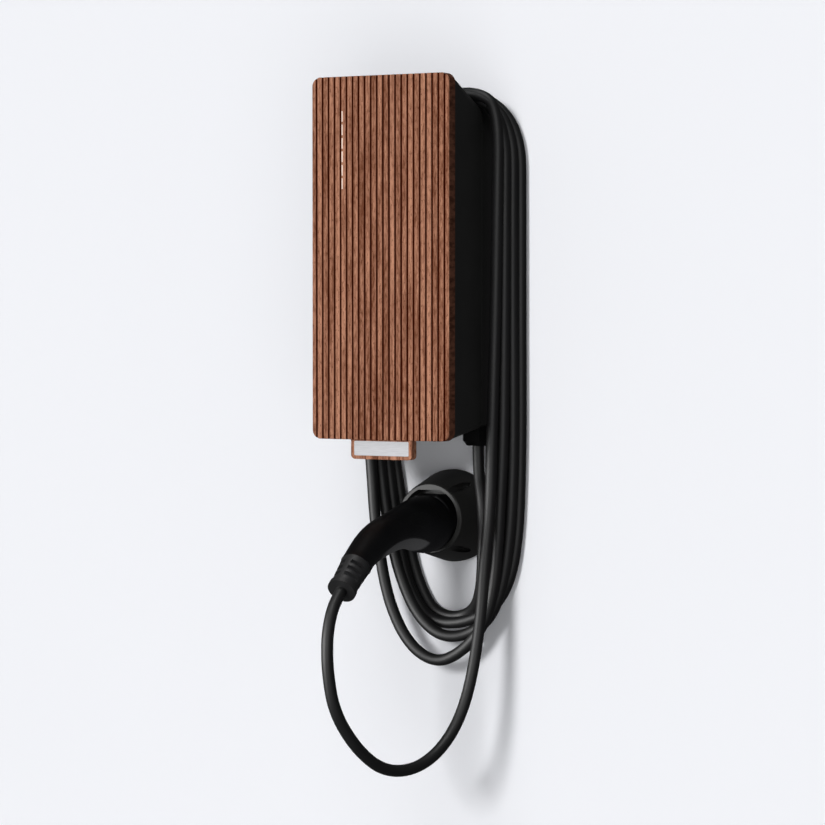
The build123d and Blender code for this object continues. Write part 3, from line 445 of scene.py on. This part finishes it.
# %% Metals
def metal(name, colour, roughness, stretch, scale, bare=1.0):
    made, shader, place = material(name)
    lines = place.noise(scale, 3, 0.6, stretch)
    shade = tuple(value * 0.85 for value in colour[:3]) + (1.0,)
    shader.inputs["Metallic"].default_value = bare
    lines.feed(shader.inputs["Base Color"], lines.step(0.3, 0.7).mix(shade, colour))
    lines.feed(shader.inputs["Roughness"], roughness + (lines - 0.5) * 0.2)
    lines.feed(shader.inputs["Normal"], lines.bump(0.00002, 0.5))
    return made


metals = {
    "plate": metal("lacquered_aluminium", rgb(240, 240, 243), 0.45, (0.03, 1, 1), 2400, bare=0.2),
    "screw": metal("plain_steel", rgb(170, 170, 172), 0.35, (1, 1, 1), 1800),
    "standoff": metal("turned_brass", rgb(206, 172, 104), 0.35, (1, 0.1, 1), 1800),
    "contact": metal("plated_contact", rgb(214, 206, 184), 0.25, (1, 0.1, 1), 1800),
}
print("metals:", len(metals))

# %% [markdown]
# Every CAD node takes the material of the slot that the record gives it, and so does the cable.

# %% Assign
finishes = {"wood": walnut, **plastics, **metals}
slot_of = {entry["node"]: entry["material_slot"] for entry in frame["record"]["subparts"]}
for name, piece in nodes.items():
    piece.data.materials.clear()
    piece.data.materials.append(finishes[slot_of[name]])
cable_data.materials.append(finishes["cable"])
print("slots used:", len(set(slot_of.values())))

# %% [markdown]
# ## Wall and floor
#
# A pale wall stands just behind the part and a pale floor lies well below it. Both can be seen through
# from behind, so that the back of the part shows. They catch light and shadow, but they send none on to
# the part, whose black plastic would turn grey beside so much white.

# %% Stage
WALL_PLACE = 0.0012
FLOOR_PLACE = -0.95
REACH = 30.0
PALE = rgb(246, 247, 251)


def sheet(name, corners):
    mesh = bpy.data.meshes.new(name)
    mesh.from_pydata(corners, [], [(0, 1, 2, 3)])
    piece = bpy.data.objects.new(name, mesh)
    scene.collection.objects.link(piece)
    made, shader, place = material(name)
    cloud = place.noise(2.0, 3, 0.5)
    shade = tuple(value * 0.985 for value in PALE[:3]) + (1.0,)
    cloud.feed(shader.inputs["Base Color"], cloud.mix(shade, PALE))
    cloud.feed(shader.inputs["Roughness"], 0.9 + cloud * 0.05)
    shader.inputs["Specular IOR Level"].default_value = 0.1
    tree = made.node_tree
    behind = cloud.node("ShaderNodeNewGeometry", {}, out="Backfacing")
    through = cloud.node("ShaderNodeBsdfTransparent", {})
    both = cloud.node("ShaderNodeMixShader", {0: behind, 1: Wire(tree, shader.outputs[0]), 2: through})
    output = next(node for node in tree.nodes if node.type == "OUTPUT_MATERIAL")
    tree.links.new(both.socket, output.inputs["Surface"])
    mesh.materials.append(made)
    piece.visible_glossy = False
    piece.visible_diffuse = False
    return piece


foot = [(-REACH, WALL_PLACE, FLOOR_PLACE), (REACH, WALL_PLACE, FLOOR_PLACE)]
head = [(REACH, WALL_PLACE, REACH), (-REACH, WALL_PLACE, REACH)]
near = [(-REACH, -REACH, FLOOR_PLACE), (REACH, -REACH, FLOOR_PLACE)]
sheet("wall", foot + head)
ground = sheet("floor", near + foot[::-1])
ground.visible_shadow = False
print("stage: wall at", WALL_PLACE, "floor at", FLOOR_PLACE)

# %% [markdown]
# ## Light
#
# The key comes from the front and a little above, and throws the cable's soft shadow on the wall. The top
# light shades the wall below the box, and the fill, which throws no shadow, opens that shade again. Two
# large panels are seen only as highlights: one behind the camera, and one at the left for the cable, the
# dock and the plug. A small lamp lights the handle from below, and another sun only the floor.


# %% Lamps
def lamp(name, kind, place, size, power, target=(0, 0, 0)):
    """A lamp at a place, aimed at a target; a sun's size is in degrees, a panel's in metres."""
    data = bpy.data.lights.new(name, kind)
    data.energy = power
    if kind == "SUN":
        data.angle = math.radians(size)
    else:
        data.shape = "DISK"
        data.size = size
    piece = bpy.data.objects.new(name, data)
    piece.visible_camera = False
    piece.location = place
    aim = piece.location - Vector(target)
    piece.rotation_euler = aim.to_track_quat("Z", "Y").to_euler()
    scene.collection.objects.link(piece)
    return piece


def shine_on(piece, *receivers):
    """Let a lamp reach only some of the pieces."""
    group = bpy.data.collections.new(piece.name + "_receivers")
    for receiver in receivers:
        group.objects.link(receiver)
    piece.light_linking.receiver_collection = group


key = lamp("key", "SUN", (-0.015, -1.0, 0.28), 12, 1.76)
lamp("top", "SUN", (0.05, -1.0, 3.0), 18, 0.9)
fill = lamp("fill", "SUN", (0.5, -1.0, -0.45), 60, 0.76)
fill.data.use_shadow = False
panel = lamp("front", "AREA", (1.7, -3.6, 0.3), 3.0, 42, (0, 0, -0.1))
gloss = lamp("gloss", "AREA", (-2.2, -3.0, 0.1), 3.0, 200, (0, 0, -0.2))
shine_on(gloss, cable, nodes["dock_body"], nodes["strain_relief"], nodes["plug_handle"])
belly = lamp("belly", "AREA", (0.25, -0.75, -0.93), 0.6, 14, (0, -0.15, -0.3))
shine_on(belly, nodes["plug_handle"])
overhead = lamp("overhead", "SUN", (0, -0.2, 1.0), 20, 1.5)
shine_on(overhead, ground)
for piece in (key, fill, belly):
    piece.visible_glossy = False
for piece in (panel, gloss):
    piece.visible_diffuse = False
print("lamps:", len(bpy.data.lights))

# %% [markdown]
# The sky is pale where the camera sees it, dark where it is mirrored, and a dim even light elsewhere.

# %% Sky
SKY_LIGHT = (0.15, 0.152, 0.156, 1)
SKY_MIRRORED = (0.06, 0.06, 0.062, 1)
SKY_SEEN = (0.90, 0.91, 0.93, 1)
world = bpy.data.worlds.new("sky")
world.use_nodes = True
tree = world.node_tree
path = tree.nodes.new("ShaderNodeLightPath")
seen = Wire(tree, path.outputs["Is Camera Ray"])
mirrored = Wire(tree, path.outputs["Is Glossy Ray"])
sky = seen.mix(mirrored.mix(SKY_LIGHT, SKY_MIRRORED), SKY_SEEN)
seen.feed(tree.nodes["Background"].inputs["Color"], sky)
scene.world = world
scene.view_settings.view_transform = "Standard"
print("sky ready")

# %% [markdown]
# ## Finish
#
# The view layer is brought up to date.

# %% Finish
bpy.context.view_layer.update()
